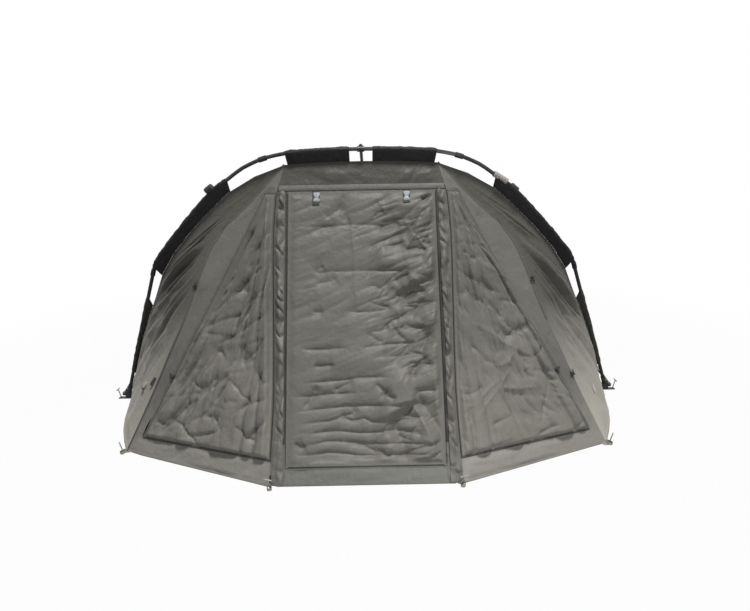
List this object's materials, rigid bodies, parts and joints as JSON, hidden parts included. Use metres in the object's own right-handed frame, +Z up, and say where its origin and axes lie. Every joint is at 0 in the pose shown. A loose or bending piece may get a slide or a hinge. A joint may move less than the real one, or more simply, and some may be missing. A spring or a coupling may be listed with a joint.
{
  "type": "bivvy tent",
  "caption": "Folding bivvy tent: domed cloth canopy hung in pivoting pole ribs, with a zipped door, opening side windows, a floor and ground pegs.",
  "frame": {"origin": "on the ground, midway between the two hubs that the ribs pivot on", "axes": "+Z up; +X along the hub line, from the left hub to the right hub of someone facing the door from outside; +Y from the door to the back"},
  "size_m": [3.0816, 2.3293, 1.4979],
  "materials": {
    "canopy_cloth": "matt woven polyester",
    "dark_cloth": "matt dark sleeve cloth",
    "mesh_cloth": "open insect mesh",
    "floor_cloth": "coated floor cloth",
    "pole": "satin gunmetal tube",
    "black_plastic": "moulded black plastic",
    "buckle_plastic": "moulded grey plastic",
    "steel": "plain bright steel"
  },
  "bodies": {
    "root": {"front_leg_left": "pole", "front_leg_right": "pole", "front_shoulder_left": "pole", "front_shoulder_right": "pole", "front_crown": "pole", "front_knuckle_lower_left": "black_plastic", "front_knuckle_lower_right": "black_plastic", "front_knuckle_upper_left": "black_plastic", "front_knuckle_upper_right": "black_plastic", "hub_left": "black_plastic", "hub_right": "black_plastic", "hub_bolt_left": "steel", "hub_bolt_right": "steel", "apex_block": "black_plastic", "brim": "canopy_cloth", "door_sill": "dark_cloth", "pillar_left": "canopy_cloth", "pillar_right": "canopy_cloth", "window_frame_left": "canopy_cloth", "window_frame_right": "canopy_cloth", "mesh_window_left": "mesh_cloth", "mesh_window_right": "mesh_cloth", "side_panel_left": "canopy_cloth", "side_panel_right": "canopy_cloth", "roof": "canopy_cloth", "rear_wall": "canopy_cloth", "groundsheet": "floor_cloth", "sleeve_top_left": "dark_cloth", "sleeve_top_right": "dark_cloth", "sleeve_shoulder_left": "dark_cloth", "sleeve_shoulder_right": "dark_cloth", "sleeve_leg_left": "dark_cloth", "sleeve_leg_right": "dark_cloth"},
    "rear_rib": {"rear_leg_left": "pole", "rear_leg_right": "pole", "rear_arch": "pole", "rear_knuckle_left": "black_plastic", "rear_knuckle_right": "black_plastic", "rear_guide": "black_plastic", "sleeve_rear_left": "dark_cloth", "sleeve_rear_right": "dark_cloth"},
    "ridge_bar": {"ridge_bar": "pole"},
    "door": {"door": "canopy_cloth", "buckle_socket_left": "buckle_plastic", "buckle_socket_right": "buckle_plastic"},
    "buckle_clip_left": {"buckle_clip_left": "buckle_plastic"},
    "buckle_clip_right": {"buckle_clip_right": "buckle_plastic"},
    "window_cover_left": {"window_cover_left": "canopy_cloth"},
    "window_cover_right": {"window_cover_right": "canopy_cloth"},
    "zip_slider_left": {"zip_slider_left": "steel"},
    "zip_slider_right": {"zip_slider_right": "steel"},
    "hub_peg_left": {"hub_peg_left": "steel"},
    "hub_peg_right": {"hub_peg_right": "steel"},
    "front_peg_left": {"front_peg_left": "steel"},
    "front_peg_right": {"front_peg_right": "steel"},
    "corner_peg_left": {"corner_peg_left": "steel"},
    "corner_peg_right": {"corner_peg_right": "steel"},
    "rear_peg_left": {"rear_peg_left": "steel"},
    "rear_peg_right": {"rear_peg_right": "steel"}
  },
  "joints": [
    {"name": "rear_rib_fold", "type": "hinge", "parent": "root", "child": "rear_rib", "pos_m": [0, 0, 0.03], "axis": [1, 0, 0], "range_deg": [0, 60], "deforming": ["roof", "rear_wall"]},
    {"name": "ridge_bar_tilt", "type": "hinge", "parent": "root", "child": "ridge_bar", "pos_m": [0, -0.50564, 1.48356], "axis": [1, 0, 0], "range_deg": [0, 30]},
    {"name": "door_lift", "type": "hinge", "parent": "root", "child": "door", "pos_m": [0, -0.54778, 1.283], "axis": [-1, 0, 0], "range_deg": [0, 90]},
    {"name": "buckle_clip_left_pull", "type": "slide", "parent": "door", "child": "buckle_clip_left", "axis": [0, -0.3537, -0.9353], "range_m": [0, 0.02]},
    {"name": "buckle_clip_right_pull", "type": "slide", "parent": "door", "child": "buckle_clip_right", "axis": [0, -0.3537, -0.9353], "range_m": [0, 0.02]},
    {"name": "window_cover_left_swing", "type": "hinge", "parent": "root", "child": "window_cover_left", "pos_m": [-0.465, -0.50641, 1.283], "axis": [-0.4823, -0.1325, -0.8659], "range_deg": [0, 100]},
    {"name": "window_cover_right_swing", "type": "hinge", "parent": "root", "child": "window_cover_right", "pos_m": [0.465, -0.50641, 1.283], "axis": [-0.4823, 0.1325, 0.8659], "range_deg": [0, 100]},
    {"name": "zip_slider_left_run", "type": "slide", "parent": "door", "child": "zip_slider_left", "axis": [0.0146, 0.3537, 0.9352], "range_m": [-0.298, 0.895]},
    {"name": "zip_slider_right_run", "type": "slide", "parent": "door", "child": "zip_slider_right", "axis": [-0.0146, 0.3537, 0.9352], "range_m": [0, 1.195]},
    {"name": "hub_peg_left_pull", "type": "slide", "parent": "root", "child": "hub_peg_left", "axis": [-0.2419, 0, 0.9703], "range_m": [0, 0.1]},
    {"name": "hub_peg_right_pull", "type": "slide", "parent": "root", "child": "hub_peg_right", "axis": [0.2419, 0, 0.9703], "range_m": [0, 0.1]},
    {"name": "front_peg_left_pull", "type": "slide", "parent": "root", "child": "front_peg_left", "axis": [-0.0919, -0.2238, 0.9703], "range_m": [0, 0.1]},
    {"name": "front_peg_right_pull", "type": "slide", "parent": "root", "child": "front_peg_right", "axis": [0.0919, -0.2238, 0.9703], "range_m": [0, 0.1]},
    {"name": "corner_peg_left_pull", "type": "slide", "parent": "root", "child": "corner_peg_left", "axis": [-0.2102, -0.1198, 0.9703], "range_m": [0, 0.1]},
    {"name": "corner_peg_right_pull", "type": "slide", "parent": "root", "child": "corner_peg_right", "axis": [0.2102, -0.1198, 0.9703], "range_m": [0, 0.1]},
    {"name": "rear_peg_left_pull", "type": "slide", "parent": "root", "child": "rear_peg_left", "axis": [-0.1326, 0.2023, 0.9703], "range_m": [0, 0.1]},
    {"name": "rear_peg_right_pull", "type": "slide", "parent": "root", "child": "rear_peg_right", "axis": [0.1326, 0.2023, 0.9703], "range_m": [0, 0.1]}
  ],
  "couplings": [
    {"joint": "ridge_bar_tilt", "follows": "rear_rib_fold", "ratio": 0.5}
  ]
}
